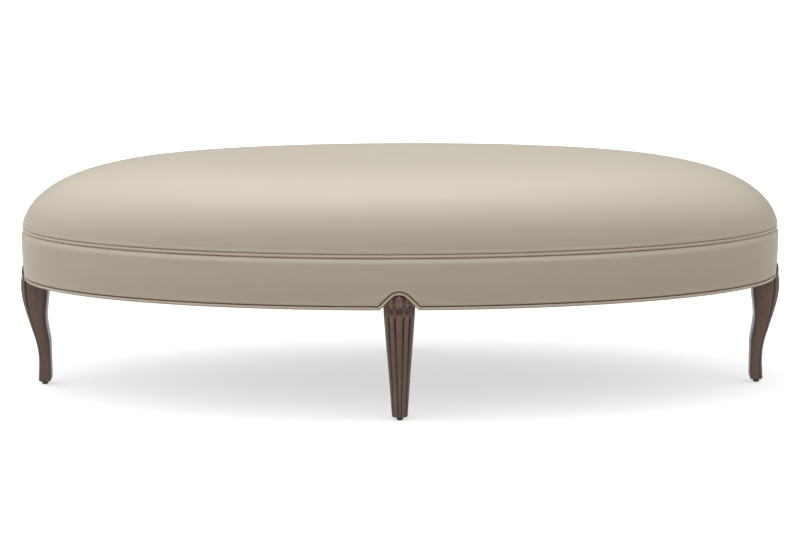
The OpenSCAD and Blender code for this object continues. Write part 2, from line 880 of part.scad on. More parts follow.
// The carved leg from its foot to the top of its knee
module leg_carving() {
    foot = leg_row(0, 0);
    rings = concat(
        [row_ring([foot_z / seat_base_z, foot[1], foot[2], foot[3]], foot_round_share, 0)],
        [row_ring([(foot_z + foot_edge) / seat_base_z, foot[1], foot[2], foot[3]])],
        [for (i = [1 : len(leg_shares) - 2], s = leg_ring_shares) row_ring(leg_row(i, s))],
        [row_ring(leg_row(len(leg_shares) - 1, 0))],
        [for (s = dome_shares) dome_ring(s)]);
    m = len(rings[0]);
    polyhedron(points = flattened(rings), faces = capped_faces(len(rings), m));
}

// The glide's nail, and how much deeper its hole is
nail_d = 2.5;
nail_l = 15;
nail_room = 1;

// The square post over the knee, its face sawn to the frame's curve
module leg_post(i) {
    translate([0, 0, frame_z])
        linear_extrude(upper_plate_z - frame_z)
            intersection() {
                polygon(oval_outline(post_front));
                at_leg(i)
                    translate([-post_w / 2, 0])
                        square([post_w, post_back]);
            }
}

// A leg with its post and the holes for its bolts and its glide's nail
module leg(i) {
    color(wood_colour)
        difference() {
            union() {
                at_leg(i)
                    leg_carving();
                leg_post(i);
            }
            at_leg(i) {
                at_bolts(post_back - bolt_grip)
                    cylinder(d = bolt_d + 2 * fix_gap, h = bolt_grip + overrun, $fn = round_fn);
                translate([0, glide_in, foot_z - overrun])
                    cylinder(d = nail_d + 2 * fix_gap, h = overrun + nail_l + nail_room, $fn = round_fn);
            }
        }
}

// Inset of the glide under the middle of the foot
glide_in = leg_sway * leg_shares[0][1] - knee_reach + knee_depth * leg_shares[0][2] / 2;

// The middle of the glide's worn edge, as shares of the edge outwards and upwards
glide_edge_shares = [0.6, 0.35];

// A nailed glide with a worn flat
module glide(i) {
    edge = (glide_d - glide_flat_d) / 2;
    color(glide_colour)
        at_leg(i)
            translate([0, glide_in, 0]) {
                rotate_extrude($fn = round_fn)
                    polygon([[0, 0], [glide_flat_d / 2, 0],
                        [glide_flat_d / 2 + edge * glide_edge_shares[0], edge * glide_edge_shares[1]],
                        [glide_d / 2, edge], [glide_d / 2, glide_h], [0, glide_h]]);
                translate([0, 0, glide_h / 2])
                    cylinder(d = nail_d, h = glide_h / 2 + nail_l, $fn = round_fn);
            }
}

// What is drawn

top_cover();
cover_skirt();
fibre_wrap();
foam_crown();
foam_base();
deck_cloth();
long_webbing();
cross_webbing();
top_welt();
boxing();
bottom_welt();
tack_strip();
band_padding(0);  // band_padding_back_right
band_padding(1);  // band_padding_back_left
band_padding(2);  // band_padding_front_left
band_padding(3);  // band_padding_front_right
rail_facing();
top_plate(FRONT);  // top_plate_front
top_plate(RIGHT);  // top_plate_right
top_plate(BACK);  // top_plate_back
top_plate(LEFT);  // top_plate_left
bottom_plate(FRONT);  // bottom_plate_front
bottom_plate(RIGHT);  // bottom_plate_right
bottom_plate(BACK);  // bottom_plate_back
bottom_plate(LEFT);  // bottom_plate_left
for (i = [0 : len(spacer_angles) - 1])
    spacer_block(i);
cross_rail(-1);  // cross_rail_left
cross_rail(1);  // cross_rail_right
leg_block(FRONT);  // leg_block_front
leg_block(RIGHT);  // leg_block_right
leg_block(BACK);  // leg_block_back
leg_block(LEFT);  // leg_block_left
leg(FRONT);  // leg_front
leg(RIGHT);  // leg_right
leg(BACK);  // leg_back
leg(LEFT);  // leg_left
glide(FRONT);  // glide_front
glide(RIGHT);  // glide_right
glide(BACK);  // glide_back
glide(LEFT);  // glide_left
leg_bolts();
bolt_washers();
bolt_nuts();
top_plate_screws();
bottom_plate_screws();
dust_cover();
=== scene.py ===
# Oval bed bench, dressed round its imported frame.
# Metres. Z is up, X runs along the bench and the front faces -Y.

import json
import math

import bpy
import numpy as np
from mathutils import Matrix, Vector
from mathutils.kdtree import KDTree


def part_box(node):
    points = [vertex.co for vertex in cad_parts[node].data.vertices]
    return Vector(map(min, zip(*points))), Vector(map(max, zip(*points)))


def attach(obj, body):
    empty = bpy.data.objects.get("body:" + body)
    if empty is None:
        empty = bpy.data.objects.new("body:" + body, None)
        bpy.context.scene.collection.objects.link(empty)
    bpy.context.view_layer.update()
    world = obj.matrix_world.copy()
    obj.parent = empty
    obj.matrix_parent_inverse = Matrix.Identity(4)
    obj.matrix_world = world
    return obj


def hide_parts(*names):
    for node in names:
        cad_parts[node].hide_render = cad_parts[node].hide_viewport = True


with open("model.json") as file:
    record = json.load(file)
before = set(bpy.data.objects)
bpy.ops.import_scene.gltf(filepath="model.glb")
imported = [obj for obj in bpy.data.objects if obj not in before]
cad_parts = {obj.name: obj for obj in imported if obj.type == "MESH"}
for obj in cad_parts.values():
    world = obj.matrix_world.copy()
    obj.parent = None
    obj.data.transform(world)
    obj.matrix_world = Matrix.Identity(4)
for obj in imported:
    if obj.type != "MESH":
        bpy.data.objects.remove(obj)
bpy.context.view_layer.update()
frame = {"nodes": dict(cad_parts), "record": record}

MM = 0.001

# Sizes taken from the frame. The seam line is an oval of half_len and half_depth, the
# boxing runs from base_z up to seam_z, and the cover starts at crown_z, over the upper welt.
cover_low, cover_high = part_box("top_cover")
boxing_low, boxing_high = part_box("boxing")
wall_in = 1.8 * MM
half_len, half_depth = cover_high[0] + wall_in, cover_high[1] + wall_in
crown_z, crown_h = cover_low[2], 138 * MM
base_z, seam_z = boxing_low[2], boxing_high[2]
boxing_h = seam_z - base_z
welt_r = (crown_z - seam_z) / 2

# The crown's form: how square its side is, how full its top is, how much more its rings
# draw in at the ends, and how late they draw in at the front
crown_square, crown_full, crown_end_share, crown_late = 4.55, 0.57, 0.587, 1.21
# The cut-out over a leg
arch_rise, arch_r, arch_slope = 29 * MM, 27 * MM, math.radians(45)
# Thickness of the cover and of the boxing
fabric_t = 1.2 * MM

# The legs, as (side, turn about Z, distance of the seam line from the middle)
leg_places = [
    ("front", 0, half_depth),
    ("right", math.pi / 2, half_len),
    ("back", math.pi, half_depth),
    ("left", math.pi * 3 / 2, half_len),
]


# Camera

photo_width = 800
lens_pixels = 2449.07
camera_place = (0.0227, -4.8598, 1.2279)
camera_pitch, camera_yaw, camera_roll = 0.201, 0.0047, -0.0044
# Where the picture's middle lies off the lens's axis, as shares of its width
camera_shift = (0.00025, 0.000625)


def new_object(name, data):
    made = bpy.data.objects.new(name, data)
    bpy.context.scene.collection.objects.link(made)
    return made


def place_camera():
    camera = bpy.data.cameras.new("photo_camera")
    camera.sensor_width = 36
    camera.lens = camera.sensor_width * lens_pixels / photo_width
    camera.shift_x, camera.shift_y = camera_shift
    camera.clip_end = 50
    holder = new_object("photo_camera", camera)
    holder.matrix_world = (
        Matrix.Translation(camera_place)
        @ Matrix.Rotation(camera_yaw, 4, "Z")
        @ Matrix.Rotation(math.pi / 2 - camera_pitch, 4, "X")
        @ Matrix.Rotation(camera_roll, 4, "Z")
    )
    bpy.context.scene.camera = holder


# Shader nodes


def fill(tree, node, inputs):
    """Sets or links a node's inputs, by name or number."""
    for key, value in inputs.items():
        socket = node.inputs[key]
        if isinstance(value, bpy.types.NodeSocket):
            tree.links.new(value, socket)
        elif isinstance(value, tuple) and len(value) == 3 and len(socket.default_value) == 4:
            socket.default_value = (*value, 1)
        else:
            socket.default_value = value
    return node


def add(tree, kind, inputs, **settings):
    """A new node, with its settings made before its inputs are filled."""
    node = tree.nodes.new("ShaderNode" + kind)
    for key, value in settings.items():
        setattr(node, key, value)
    return fill(tree, node, inputs)


def linear(red, green, blue):
    """A screen colour, 0 to 255, as the linear one that a shader takes."""
    shares = [c / 255 for c in (red, green, blue)]
    return tuple(s / 12.92 if s <= 0.04045 else ((s + 0.055) / 1.055) ** 2.4 for s in shares)


def math_node(tree, operation, a, b=0.0):
    return add(tree, "Math", {0: a, 1: b}, operation=operation).outputs[0]


def blend_colours(tree, factor, a, b):
    """Colour a turned into colour b. A Mix node's colours are its inputs 6 and 7."""
    return add(tree, "Mix", {0: factor, 6: a, 7: b}, data_type="RGBA").outputs[2]


def tint(tree, mask, share, a, b):
    """Colour a, with a share of colour b where the mask is 1."""
    return blend_colours(tree, math_node(tree, "MULTIPLY", mask, share), a, b)


def map_range(tree, value, low, high, start=0.0, end=1.0):
    """Goes from low to high while the value goes from start to end."""
    return add(tree, "MapRange", {0: value, 1: start, 2: end, 3: low, 4: high}).outputs[0]


def stretched(tree, coordinate, scale, turn=0.0):
    """Coordinates with a scale along each axis, turned about Z."""
    inputs = {"Vector": coordinate, "Scale": scale, "Rotation": (0, 0, turn)}
    return add(tree, "Mapping", inputs).outputs[0]


def noise(tree, vector, scale, detail=2, roughness=0.5, distortion=0.0, turn=0.0):
    """Noise at one scale, or with a scale along each axis and a turn about Z."""
    if isinstance(scale, tuple):
        vector, scale = stretched(tree, vector, scale, turn), 1
    inputs = {"Vector": vector, "Scale": scale, "Detail": detail, "Roughness": roughness}
    return add(tree, "TexNoise", {**inputs, "Distortion": distortion}).outputs[0]


def ramp(tree, factor, stops):
    """A colour ramp through (place, colour) stops."""
    node = add(tree, "ValToRGB", {0: factor})
    elements = node.color_ramp.elements
    while len(elements) < len(stops):
        elements.new(1)
    for element, (place, colour) in zip(elements, stops):
        element.position = place
        element.color = (*colour, 1)
    return node.outputs[0]


def bump(tree, height, distance, strength, normal=None):
    """A bump on the plain surface, or on top of another bump."""
    inputs = {"Height": height, "Distance": distance, "Strength": strength}
    if normal:
        inputs["Normal"] = normal
    return add(tree, "Bump", inputs).outputs[0]


def attribute(tree, name):
    return add(tree, "Attribute", {}, attribute_name=name).outputs["Fac"]


def new_material(name):
    """A material, its empty node tree, and the place on the piece as its nodes read it."""
    material = bpy.data.materials.new(name)
    material.use_nodes = True
    tree = material.node_tree
    tree.nodes.clear()
    return material, tree, add(tree, "TexCoord", {}).outputs["Object"]


def finish_material(material, colour, roughness, relief, others={}):
    """Gives a material its Principled shader, with its roughness as (mask, least, most)
    and its relief as bump takes it."""
    tree = material.node_tree
    rough, normal = map_range(tree, *roughness), bump(tree, *relief)
    inputs = {"Base Color": colour, "Roughness": rough, "Normal": normal, **others}
    add(tree, "OutputMaterial", {0: add(tree, "BsdfPrincipled", inputs).outputs[0]})
    return material


# Materials

# How wide a band of the wave texture is at a scale of 1
wave_band = math.pi / 10


def weave(tree, cloth, pitch, twist=0.0):
    """Height of a plain weave on a cloth's own coordinates, in metres, and the mask of
    where the threads of one way lie on top."""
    turned = stretched(tree, cloth, (1, 1, 1), twist)
    waves = {
        "Vector": turned,
        "Scale": wave_band / pitch,
        "Distortion": 0.6,
        "Detail": 1,
        "Detail Scale": 2.0,
    }
    threads = [add(tree, "TexWave", waves, bands_direction=way).outputs["Fac"] for way in "XY"]
    over = add(tree, "TexChecker", {"Vector": turned, "Scale": 1 / pitch}).outputs["Fac"]
    under = math_node(tree, "SUBTRACT", 1.0, over)
    raised = [math_node(tree, "MULTIPLY", *pair) for pair in zip(threads, (over, under))]
    return math_node(tree, "ADD", *raised), over


# The cover's thread pitch, and the painted shade colour that darkens it where it turns into a seam
thread_pitch = 0.55 * MM
painted_shade_colour = linear(84, 46, 20)


def make_cover_fabric(name, colour, twist=0.0):
    """Fine plain weave with slubs and a faint cloud, with painted shade that darkens it into its
    seams.
    """
    material, tree, place = new_material(name)
    cloth = add(tree, "UVMap", {}).outputs[0]
    height, over = weave(tree, cloth, thread_pitch, twist)
    slubs = noise(tree, cloth, (28, 700, 1), detail=3, turn=twist)
    cloudy = noise(tree, place, 3.2)
    pale = tint(tree, slubs, 0.22, colour, tuple(0.8 * c for c in colour))
    worn = tint(tree, cloudy, 0.12, pale, (0.42, 0.33, 0.25))
    threads = tint(tree, over, 0.10, worn, (0.30, 0.24, 0.18))
    # The crease mask blends in painted shade where the cloth turns into its seams.
    with_painted_shade = blend_colours(tree, attribute(tree, "painted_crease_shade"), threads, painted_shade_colour)
    drawn = noise(tree, cloth, (26, 5, 1))
    relief = (drawn, 0.5 * MM, 0.5, bump(tree, height, 0.05 * MM, 0.6))
    others = {
        "Sheen Weight": 0.15,
        "Sheen Roughness": 0.4,
        "Sheen Tint": (1.0, 0.96, 0.9),
        "Specular IOR Level": 0.5,
    }
    return finish_material(material, with_painted_shade, (slubs, 0.42, 0.56), relief, others)


def make_leg_wood():
    """Walnut-stained hardwood under satin lacquer, with dark glaze left in the grooves and painted
    shade in the hollows under the knee's petals.
    """
    material, tree, place = new_material("leg_wood_finish")
    grain = noise(tree, place, (95, 95, 6), detail=5, roughness=0.62, distortion=0.7)
    figure = noise(tree, place, (16, 16, 2.2), distortion=1.2)
    pores = noise(tree, place, (900, 900, 26))
    stains = [
        (0.25, linear(101, 80, 70)),
        (0.5, linear(123, 102, 91)),
        (0.75, linear(144, 122, 108)),
    ]
    broad = tint(tree, figure, 0.4, ramp(tree, grain, stains), linear(99, 74, 64))
    in_pores = map_range(tree, pores, 0.0, 0.5, 0.56, 0.7)
    pored = blend_colours(tree, in_pores, broad, linear(38, 25, 21))
    # The groove mask darkens the grooves as glaze and the hollows under the petals as painted
    # shade.
    colour = tint(tree, attribute(tree, "groove"), 0.45, pored, linear(58, 36, 29))
    others = {"Specular IOR Level": 0.35, "Coat Weight": 0.32, "Coat Roughness": 0.16}
    return finish_material(material, colour, (grain, 0.38, 0.54), (pores, 0.12 * MM, 0.35), others)


def make_hardwood():
    """Unfinished hardwood with its grain upright."""
    material, tree, place = new_material("hardwood_finish")
    light, dark = linear(206, 170, 124), linear(166, 124, 80)
    upright = (42, 42, 3)
    grain = noise(tree, place, upright, detail=5, roughness=0.6, distortion=0.8)
    fibres = noise(tree, place, (700, 700, 20))
    across = stretched(tree, place, upright)
    waves = {"Vector": across, "Scale": 1.0, "Distortion": 4.0, "Detail": 2}
    rings = add(tree, "TexWave", waves).outputs["Fac"]
    colour = tint(tree, rings, 0.3, blend_colours(tree, grain, light, dark), dark)
    return finish_material(material, colour, (fibres, 0.62, 0.82), (fibres, 0.2 * MM, 0.4))


def make_plywood():
    """Bare plywood: grain on its faces, and dark and light plies stacked along Z on its edges."""
    material, tree, place = new_material("plywood_finish")
    grain = noise(tree, place, (4, 60, 60), detail=4, roughness=0.6, distortion=0.8)
    fibres = noise(tree, place, (30, 600, 600))
    face = blend_colours(tree, grain, linear(222, 196, 152), linear(188, 152, 106))
    height = add(tree, "SeparateXYZ", {0: place}).outputs["Z"]
    ply = math_node(tree, "PINGPONG", height, 1.5 * MM)
    dark_ply = map_range(tree, ply, 0.0, 1.0, 0.6 * MM, 0.9 * MM)
    plies = blend_colours(tree, dark_ply, linear(205, 172, 124), linear(142, 104, 68))
    true_normal = add(tree, "NewGeometry", {}).outputs["True Normal"]
    upwards = add(tree, "SeparateXYZ", {0: true_normal}).outputs["Z"]
    on_face = map_range(tree, math_node(tree, "ABSOLUTE", upwards), 0.0, 1.0, 0.5, 0.7)
    colour = blend_colours(tree, on_face, plies, face)
    return finish_material(material, colour, (fibres, 0.6, 0.8), (fibres, 0.2 * MM, 0.4))


def make_foam():
    material, tree, place = new_material("foam_finish")
    cells = add(tree, "TexVoronoi", {"Vector": place, "Scale": 900}).outputs[0]
    tone = noise(tree, place, 14, detail=3)
    colour = blend_colours(tree, tone, linear(244, 233, 190), linear(226, 208, 152))
    return finish_material(material, colour, (cells, 0.8, 0.95), (cells, 0.4 * MM, 0.7))


def make_wadding():
    material, tree, place = new_material("wadding_finish")
    hairs = noise(tree, place, (160, 160, 160), detail=5, roughness=0.7, distortion=2.0)
    tufts = noise(tree, place, 30, detail=3)
    colour = blend_colours(tree, hairs, linear(250, 250, 247), linear(226, 226, 220))
    relief = (tufts, 2 * MM, 0.5, bump(tree, hairs, 0.5 * MM, 0.6))
    return finish_material(material, colour, (hairs, 0.85, 1.0), relief, {"Sheen Weight": 0.3})


def make_plain_weave(name, colour, pitch):
    """A coarse woven cloth lying level, such as hessian or webbing."""
    material, tree, place = new_material(name)
    height, over = weave(tree, place, pitch)
    yarns = noise(tree, place, (60, 900, 60), detail=3)
    shade = tuple(0.6 * c for c in colour)
    mixed = tint(tree, over, 0.25, blend_colours(tree, yarns, colour, shade), shade)
    return finish_material(material, mixed, (yarns, 0.78, 0.95), (height, 0.4 * MM, 0.8))


def make_card():
    material, tree, place = new_material("card_finish")
    flecks = noise(tree, place, 420, detail=4, roughness=0.7)
    tone = noise(tree, place, 20)
    base = blend_colours(tree, tone, linear(196, 170, 128), linear(178, 150, 108))
    colour = tint(tree, flecks, 0.3, base, linear(120, 96, 66))
    return finish_material(material, colour, (flecks, 0.7, 0.88), (flecks, 0.1 * MM, 0.4))


def make_steel():
    """Zinc plate, with the faint cloud of its crystals."""
    material, tree, place = new_material("zinc_steel_finish")
    cloud = noise(tree, place, 160, detail=3)
    scratches = noise(tree, place, (900, 90, 90))
    colour = blend_colours(tree, cloud, linear(200, 203, 206), linear(170, 174, 178))
    return finish_material(
        material, colour, (cloud, 0.28, 0.45), (scratches, 0.02 * MM, 0.4), {"Metallic": 1.0}
    )


def make_glide_plastic():
    """Brown plastic, scuffed paler by the floor."""
    material, tree, place = new_material("glide_finish")
    grit = noise(tree, place, 1200)
    scuffs = noise(tree, place, (80, 500, 300), detail=4)
    worn = map_range(tree, scuffs, 0.0, 0.5, 0.55, 0.8)
    colour = blend_colours(tree, worn, linear(74, 58, 50), linear(100, 86, 78))
    return finish_material(material, colour, (grit, 0.4, 0.6), (grit, 0.05 * MM, 0.4))


def make_dust_cloth():
    """Black non-woven cloth, pressed in small dimples."""
    material, tree, place = new_material("dust_cloth_finish")
    spots = {"Vector": place, "Scale": 700}
    dimples = add(tree, "TexVoronoi", spots, feature="SMOOTH_F1").outputs[0]
    fibres = noise(tree, place, (500, 90, 200), detail=4, roughness=0.7, distortion=1.5)
    colour = blend_colours(tree, fibres, linear(24, 24, 26), linear(46, 46, 49))
    return finish_material(material, colour, (fibres, 0.7, 0.9), (dimples, 0.15 * MM, 0.7))


# Building pieces

# Points that lie closer than this are one
merge_gap = 0.02 * MM
# The frames that the cloth takes to settle, and how far its points may move
cloth_frames = 20
cloth_reach = 0.7 * MM


def select_only(piece):
    if bpy.context.object and bpy.context.object.mode != "OBJECT":
        bpy.ops.object.mode_set(mode="OBJECT")
    bpy.ops.object.select_all(action="DESELECT")
    piece.select_set(True)
    bpy.context.view_layer.objects.active = piece


def apply_modifier(piece, kind, **settings):
    select_only(piece)
    modifier = piece.modifiers.new(kind.lower(), kind)
    for key, value in settings.items():
        setattr(modifier, key, value)
    bpy.ops.object.modifier_apply(modifier=modifier.name)


def grid_piece(name, rows):
    """A skin through rows of points that run anticlockwise, seen from above, each row
    closed on itself. It looks outwards where the rows go down, and inwards where they
    go up."""
    count = len(rows[0])
    points = [tuple(p) for row in rows for p in row]
    faces = []
    for i in range(len(rows) - 1):
        for j in range(count):
            k = (j + 1) % count
            faces.append((i * count + j, (i + 1) * count + j, (i + 1) * count + k, i * count + k))
    mesh = bpy.data.meshes.new(name)
    mesh.from_pydata(points, [], faces)
    return new_object(name, mesh)


def tidy_skin(piece, outwards=False):
    """Merges doubles, and on a closed skin turns the faces outwards."""
    select_only(piece)
    bpy.ops.object.mode_set(mode="EDIT")
    bpy.ops.mesh.select_all(action="SELECT")
    bpy.ops.mesh.remove_doubles(threshold=merge_gap)
    bpy.ops.mesh.dissolve_degenerate(threshold=merge_gap / 2)
    if outwards:
        bpy.ops.mesh.normals_make_consistent(inside=False)
    bpy.ops.object.mode_set(mode="OBJECT")


def finish_piece(piece, material, node, angle=40):
    """Smooths the edges under an angle, and puts the piece in a node's place."""
    select_only(piece)
    bpy.ops.object.shade_smooth_by_angle(angle=math.radians(angle))
    piece.data.materials.clear()
    piece.data.materials.append(material)
    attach(piece, "root")
    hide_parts(node)


def set_mask(piece, name, values):
    """Gives each point of a piece a value that its material reads."""
    mask = piece.data.attributes.new(name, "FLOAT", "POINT")
    mask.data.foreach_set("value", [float(v) for v in values])


def relax_cloth(piece, row_len, free_rows):
    """Lets a light pressure move the cloth the way that its faces look, held along all but
    its free rows, and keeps every point within cloth_reach of where it was cut."""
    mesh = piece.data
    before = np.empty(len(mesh.vertices) * 3)
    mesh.vertices.foreach_get("co", before)
    pins = piece.vertex_groups.new(name="seam")
    held = [i for i in range(len(mesh.vertices)) if i // row_len not in free_rows]
    pins.add(held, 1, "REPLACE")
    cloth = piece.modifiers.new("cloth", "CLOTH")
    settings = cloth.settings
    settings.quality = 6
    settings.mass = 0.35
    settings.tension_stiffness = settings.compression_stiffness = 30
    settings.shear_stiffness = 12
    settings.bending_stiffness = 2
    settings.vertex_group_mass = "seam"
    settings.use_pressure = True
    settings.uniform_pressure_force = 4
    settings.effector_weights.gravity = 0
    cloth.collision_settings.use_collision = False
    cloth.point_cache.frame_start, cloth.point_cache.frame_end = 1, cloth_frames
    scene = bpy.context.scene
    for number in range(1, cloth_frames + 1):
        scene.frame_set(number)
    settled = piece.evaluated_get(bpy.context.evaluated_depsgraph_get()).data
    after = np.empty(len(mesh.vertices) * 3)
    settled.vertices.foreach_get("co", after)
    piece.modifiers.remove(cloth)
    scene.frame_set(1)
    moved = (after - before).reshape(-1, 3)
    reach = np.linalg.norm(moved, axis=1, keepdims=True)
    kept = moved * np.minimum(1, cloth_reach / np.maximum(reach, 1e-9))
    mesh.vertices.foreach_set("co", (before.reshape(-1, 3) + kept).ravel())
    mesh.update()
    piece.vertex_groups.clear()


def cloth_piece(name, rows, dark, free_rows):
    """A skin with the painted shade of its creases row by row, settled in its free rows."""
    piece = grid_piece(name, rows)
    row_len = len(rows[0])
    set_mask(piece, "painted_crease_shade", np.repeat(dark, row_len))
    relax_cloth(piece, row_len, free_rows)
    return piece


def set_cloth_map(piece, flat):
    """Lays the piece's own cloth coordinates, in metres, by a function of place."""
    layer = piece.data.uv_layers.new(name="cloth")
    where = [flat(vertex.co) for vertex in piece.data.vertices]
    for loop in piece.data.loops:
        layer.data[loop.index].uv = where[loop.vertex_index]


# The oval


def oval_normal(angle):
    return Vector((half_depth * math.cos(angle), half_len * math.sin(angle), 0)).normalized()


def oval_point(angle, inset, z):
    """A point at an angle round the oval, moved in square to the seam line."""
    on_line = Vector((half_len * math.cos(angle), half_depth * math.sin(angle), z))
    return on_line - inset * oval_normal(angle)


def oval_angle(place):
    """The oval's angle at a place near the seam line."""
    return math.atan2(place.y / half_depth, place.x / half_len)


def smooth_between(points, steps):
    """A smooth curve through points, with a number of steps between each two."""
    line = []
    last = len(points) - 1
    for i in range(last):
        a, b, c, d = (np.array(points[min(max(k, 0), last)]) for k in (i - 1, i, i + 1, i + 2))
        for k in range(steps):
            s = k / steps
            squared = b + s * (c - a) / 2 + s**2 * (2 * a - 5 * b + 4 * c - d) / 2
            line.append(squared + s**3 * (3 * b - a - 3 * c + d) / 2)
    line.append(np.array(points[last]))
    return line


# The seam line's length from the right end, measured every eighth of a degree
arc_angles = np.linspace(0, 2 * math.pi, 8 * 360 + 1)
arc_steps = np.hypot(
    half_len * np.diff(np.cos(arc_angles)), half_depth * np.diff(np.sin(arc_angles))
)
arc_lengths = np.concatenate([[0], np.cumsum(arc_steps)])


def length_round(place):
    """Distance along the seam line to the angle of a place."""
    return float(np.interp(oval_angle(place) % (2 * math.pi), arc_angles, arc_lengths))


# The crowned top

crown_sides = 256
# The cover's rings, the shares at which the first and the last lie, and the power by which
# they lie closer near its edge
crown_rows = 56
crown_start, crown_end = 0.0005, 1.0
crown_row_power = 2.4
# The cover's edge, turned in over the welt: inset and height over the welt's top in mm, and the
# painted shade of the crease there
crown_tuck = [
    (9.0, 0.1, 1), (5.6, 0.12, 1), (3.6, 0.14, 1), (2.75, 0.35, 0.8), (2.2, 0.75, 0.35),
    (1.92, 1.25, 0.1), (1.82, 1.9, 0), (1.8, 2.8, 0),
]
# Rings over the turned edge that the simulation leaves in place
crown_held = 2


def crown_oval(share):
    """Half length, half depth and height of the crown's ring at a share of its half depth."""
    inset = share * half_depth
    long = half_len - wall_in - inset * (1 + crown_end_share * (half_len / half_depth - 1))
    height = crown_h * (1 - (1 - share) ** crown_square) ** crown_full
    return long, (half_depth - wall_in) * (1 - share**crown_late), height


def crown_share(x, y):
    """The share at which the crown's ring passes through a point, found by halving."""
    low, high = 0.0, crown_end
    for _halving in range(24):
        middle = (low + high) / 2
        long, short, _height = crown_oval(middle)
        if (x / long) ** 2 + (y / max(short, 1e-6)) ** 2 < 1:
            low = middle
        else:
            high = middle
    return (low + high) / 2


def crown_row(long, short, z):
    angles = [2 * math.pi * k / crown_sides for k in range(crown_sides)]
    return [(long * math.cos(a), short * math.sin(a), z) for a in angles]


def make_top_cover(fabric):
    rows = [
        crown_row(half_len - inset * MM, half_depth - inset * MM, crown_z + rise * MM)
        for inset, rise, _painted_shade in crown_tuck
    ]
    for k in range(crown_rows + 1):
        share = crown_start + (crown_end - crown_start) * (k / crown_rows) ** crown_row_power
        long, short, height = crown_oval(share)
        rows.append(crown_row(long, short, crown_z + height))
    dark = [d for _inset, _rise, d in crown_tuck] + [0] * (crown_rows + 1)
    free = range(crown_rows + 1 - crown_held)
    piece = cloth_piece("seat_cover", rows[::-1], dark[::-1], free)
    tidy_skin(piece)
    # Distances over the crown from each ring to its middle, along and across the bench
    shares = np.linspace(0, crown_end, 400)
    steps = np.abs(np.diff([crown_oval(s) for s in shares], axis=0))
    reach = [
        np.append(np.cumsum(np.hypot(steps[::-1, i], steps[::-1, 2]))[::-1], 0) for i in (0, 1)
    ]
    middle_len = crown_oval(crown_end)[0]

    def flat(place):
        share = crown_share(place.x, place.y)
        long, short, _height = crown_oval(share)
        angle = math.atan2(place.y / max(short, 1e-4), place.x / long)
        along = middle_len + float(np.interp(share, shares, reach[0]))
        across = float(np.interp(share, shares, reach[1]))
        return along * math.cos(angle), across * math.sin(angle)

    set_cloth_map(piece, flat)
    apply_modifier(piece, "SOLIDIFY", thickness=fabric_t, offset=-1)
    finish_piece(piece, fabric, "top_cover")


# The wadding under the cover: its gap from the outside of the cover, its thickness, the
# share of the crown at which it starts, and its rings
wadding_gap, wadding_t = 1.6 * MM, 6.5 * MM
wadding_start, wadding_rows = 0.008, 24


def make_wadding_layer(wadding):
    """A layer of wadding that follows the crown just under its cover."""
    rows = []
    for k in range(wadding_rows + 1):
        share = wadding_start + (crown_end - wadding_start) * (k / wadding_rows) ** 2
        long, short, height = crown_oval(share)
        rows.append(crown_row(long, short, crown_z + height)[::2])
    piece = grid_piece("seat_wadding", rows[::-1])
    tidy_skin(piece)
    outwards = [vertex.normal.copy() for vertex in piece.data.vertices]
    for vertex, way in zip(piece.data.vertices, outwards):
        vertex.co -= wadding_gap * way
    apply_modifier(piece, "SOLIDIFY", thickness=wadding_t, offset=-1)
    finish_piece(piece, wadding, "fibre_wrap")


# The boxing

# It rolls in under the upper welt, on a radius that starts at an angle from upright, and
# draws in towards its lower seam, by shares of its height and of the draw
roll_r, roll_start = 14 * MM, math.radians(30)
band_draw = 3.4 * MM
draw_line = np.array(smooth_between([(0, 0), (0.46, 0), (0.72, 0.38), (1, 1)], 8))
# Its face between the turned edges: its rows, the power by which they lie closer near the
# upper seam, how far under that seam it starts, and how far over the lower seam it ends
band_rows, band_row_power = 46, 1.5
band_top, band_foot = 1.2 * MM, 2.7 * MM
# How dark its face is painted, as shade where it turns into the upper seam, by mm of drop
seam_shade = [(0.6, 1), (1.0, 0.7), (1.5, 0.15), (2.0, 0)]
# Its turned edges: inset, drop from the upper seam or rise over the lower one, in mm, and the
# painted shade of the crease
upper_tuck = [(8.8, 0.15, 1), (7.6, 0.35, 1), (6.7, 0.55, 1), (6.1, 0.78, 1), (5.6, 1.0, 1)]
lower_tuck = [(0.1, 1.9, 0.45), (0.4, 1.2, 0.95), (1.1, 0.7, 1), (2.2, 0.4, 1), (4.5, 0.25, 1)]
# Steps round a cut-out's top, down each of its slopes, and along the seam between two
arch_round_steps, arch_slope_steps, span_steps = 10, 8, 64


def band_inset(z):
    """Inset of the boxing's face at a height."""
    over_roll = max(roll_r * math.cos(roll_start) - (seam_z - z), 0)
    roll = roll_r - math.sqrt(max(roll_r**2 - over_roll**2, 0))
    share = (seam_z - z) / boxing_h
    return roll + band_draw * float(np.interp(share, draw_line[:, 0], draw_line[:, 1]))


def arch_line(inside):
    """Half of the cut-out's line, moved inside it, from its top down to the base, as
    (distance beside the leg's middle, height over the base)."""
    middle = arch_rise - arch_r
    r = arch_r - inside
    turns = [arch_slope * k / arch_round_steps for k in range(arch_round_steps + 1)]
    half = [(r * math.sin(turn), middle + r * math.cos(turn)) for turn in turns]
    drop = arch_r * (1 - math.cos(arch_slope))
    half_w = arch_r * math.sin(arch_slope) + (arch_rise - drop) / math.tan(arch_slope)
    foot = (half_w - inside * math.tan(arch_slope / 2), -inside)
    top = half[-1]
    for k in range(1, arch_slope_steps + 1):
        s = k / arch_slope_steps
        half.append((top[0] + s * (foot[0] - top[0]), top[1] + s * (foot[1] - top[1])))
    return half


